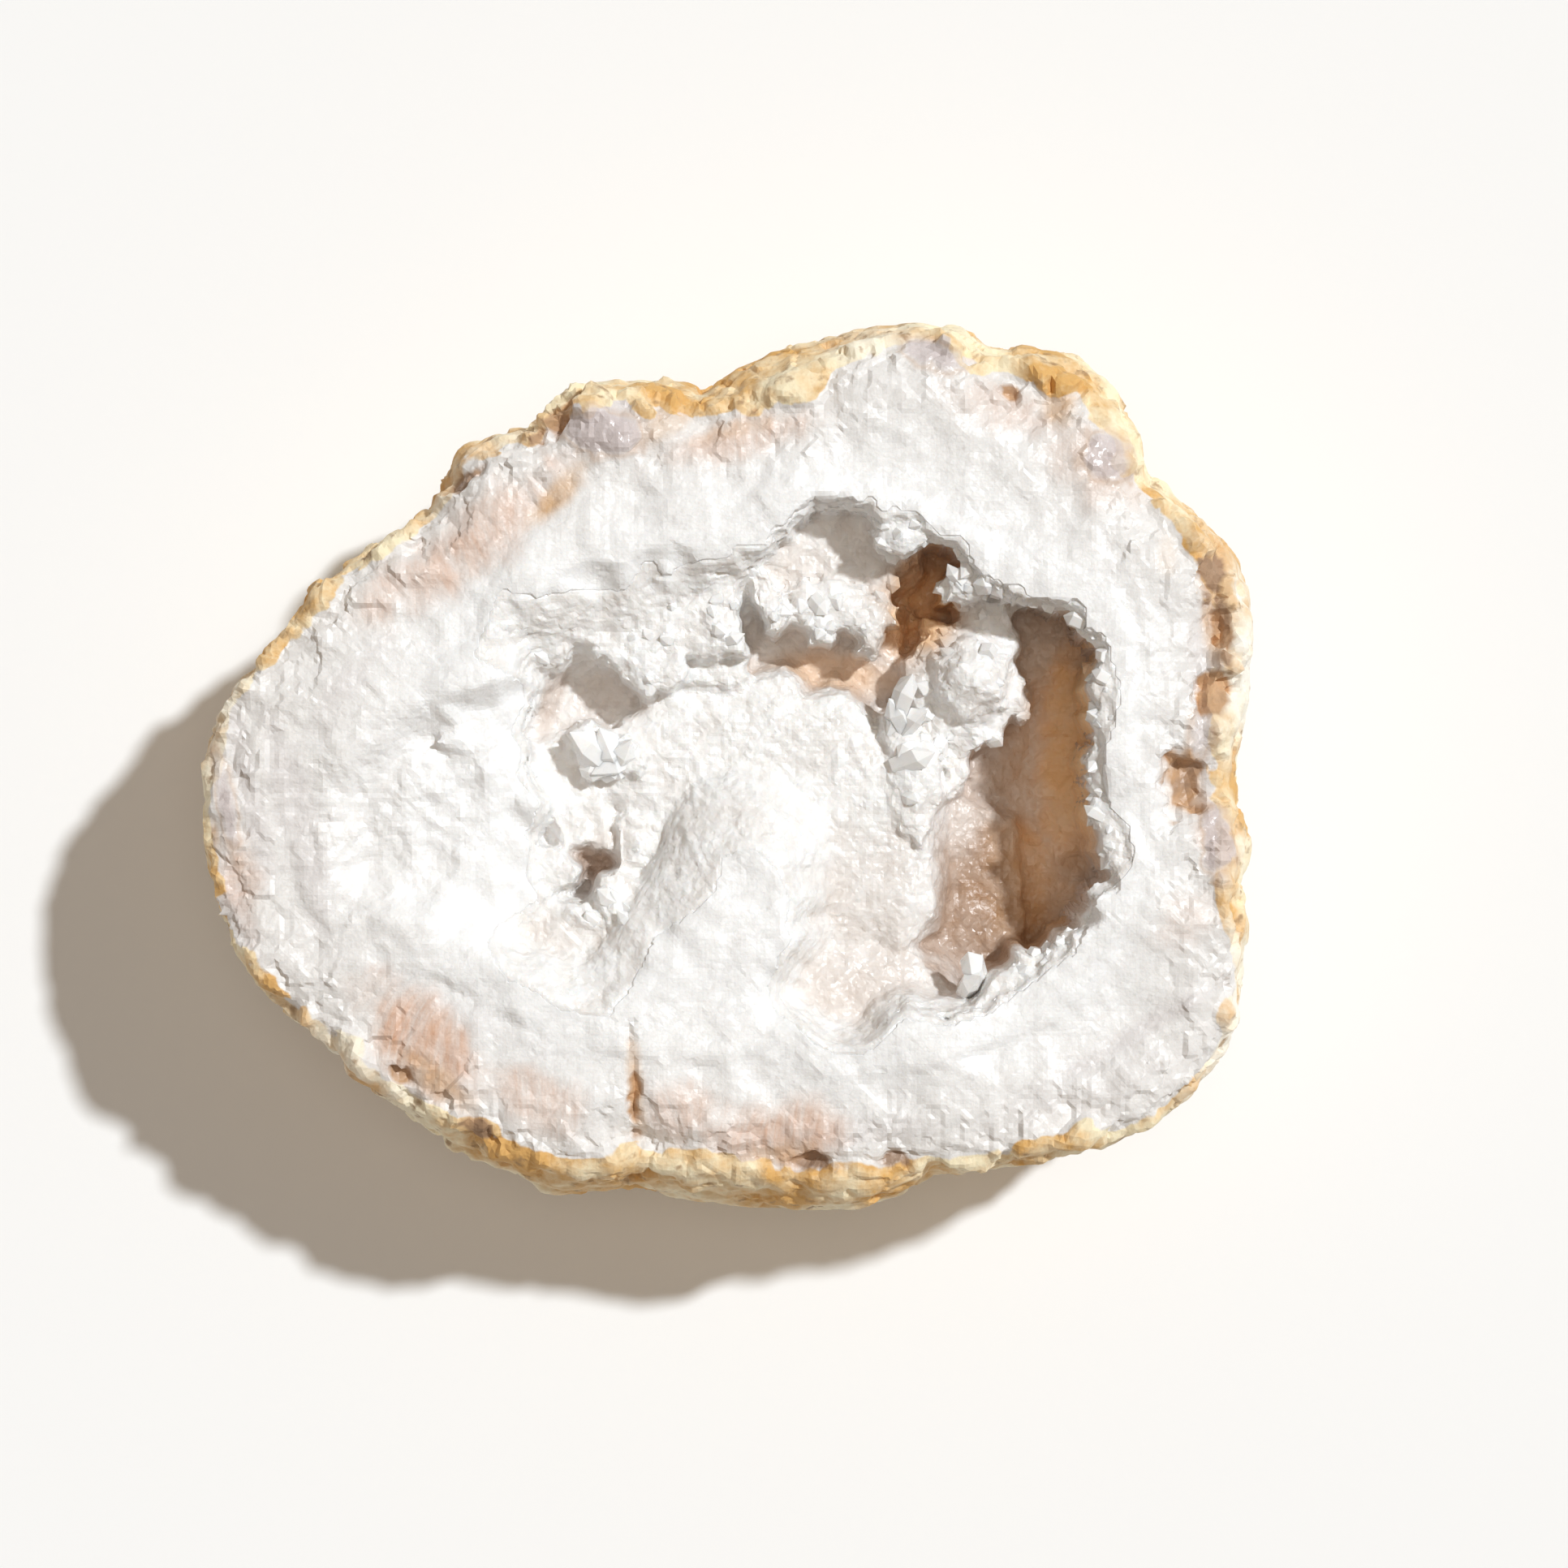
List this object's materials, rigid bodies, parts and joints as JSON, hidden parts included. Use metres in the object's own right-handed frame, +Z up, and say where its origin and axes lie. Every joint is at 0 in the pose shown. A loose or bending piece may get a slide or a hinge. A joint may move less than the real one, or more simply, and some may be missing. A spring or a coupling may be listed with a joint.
{
  "type": "geode half",
  "caption": "Half of a white quartz geode resting on its rounded back, with a broken face, a crystal-lined hollow and an ochre rind.",
  "frame": {"origin": "on the surface it rests on, under the middle of the stone's bounding box", "axes": "+X along the longest side, towards the end with the deep crevice; +Y across; +Z up out of the hollow"},
  "size_m": [0.0997, 0.085, 0.0368],
  "materials": {
    "quartz_and_rind": "sugary broken white quartz inside a chalky ochre and cream rind",
    "milky_quartz": "milky crystals with glossy flat faces, browner deep in the hollow"
  },
  "bodies": {
    "root": {"geode_shell": "quartz_and_rind", "crystal_crust": "milky_quartz"}
  },
  "joints": []
}
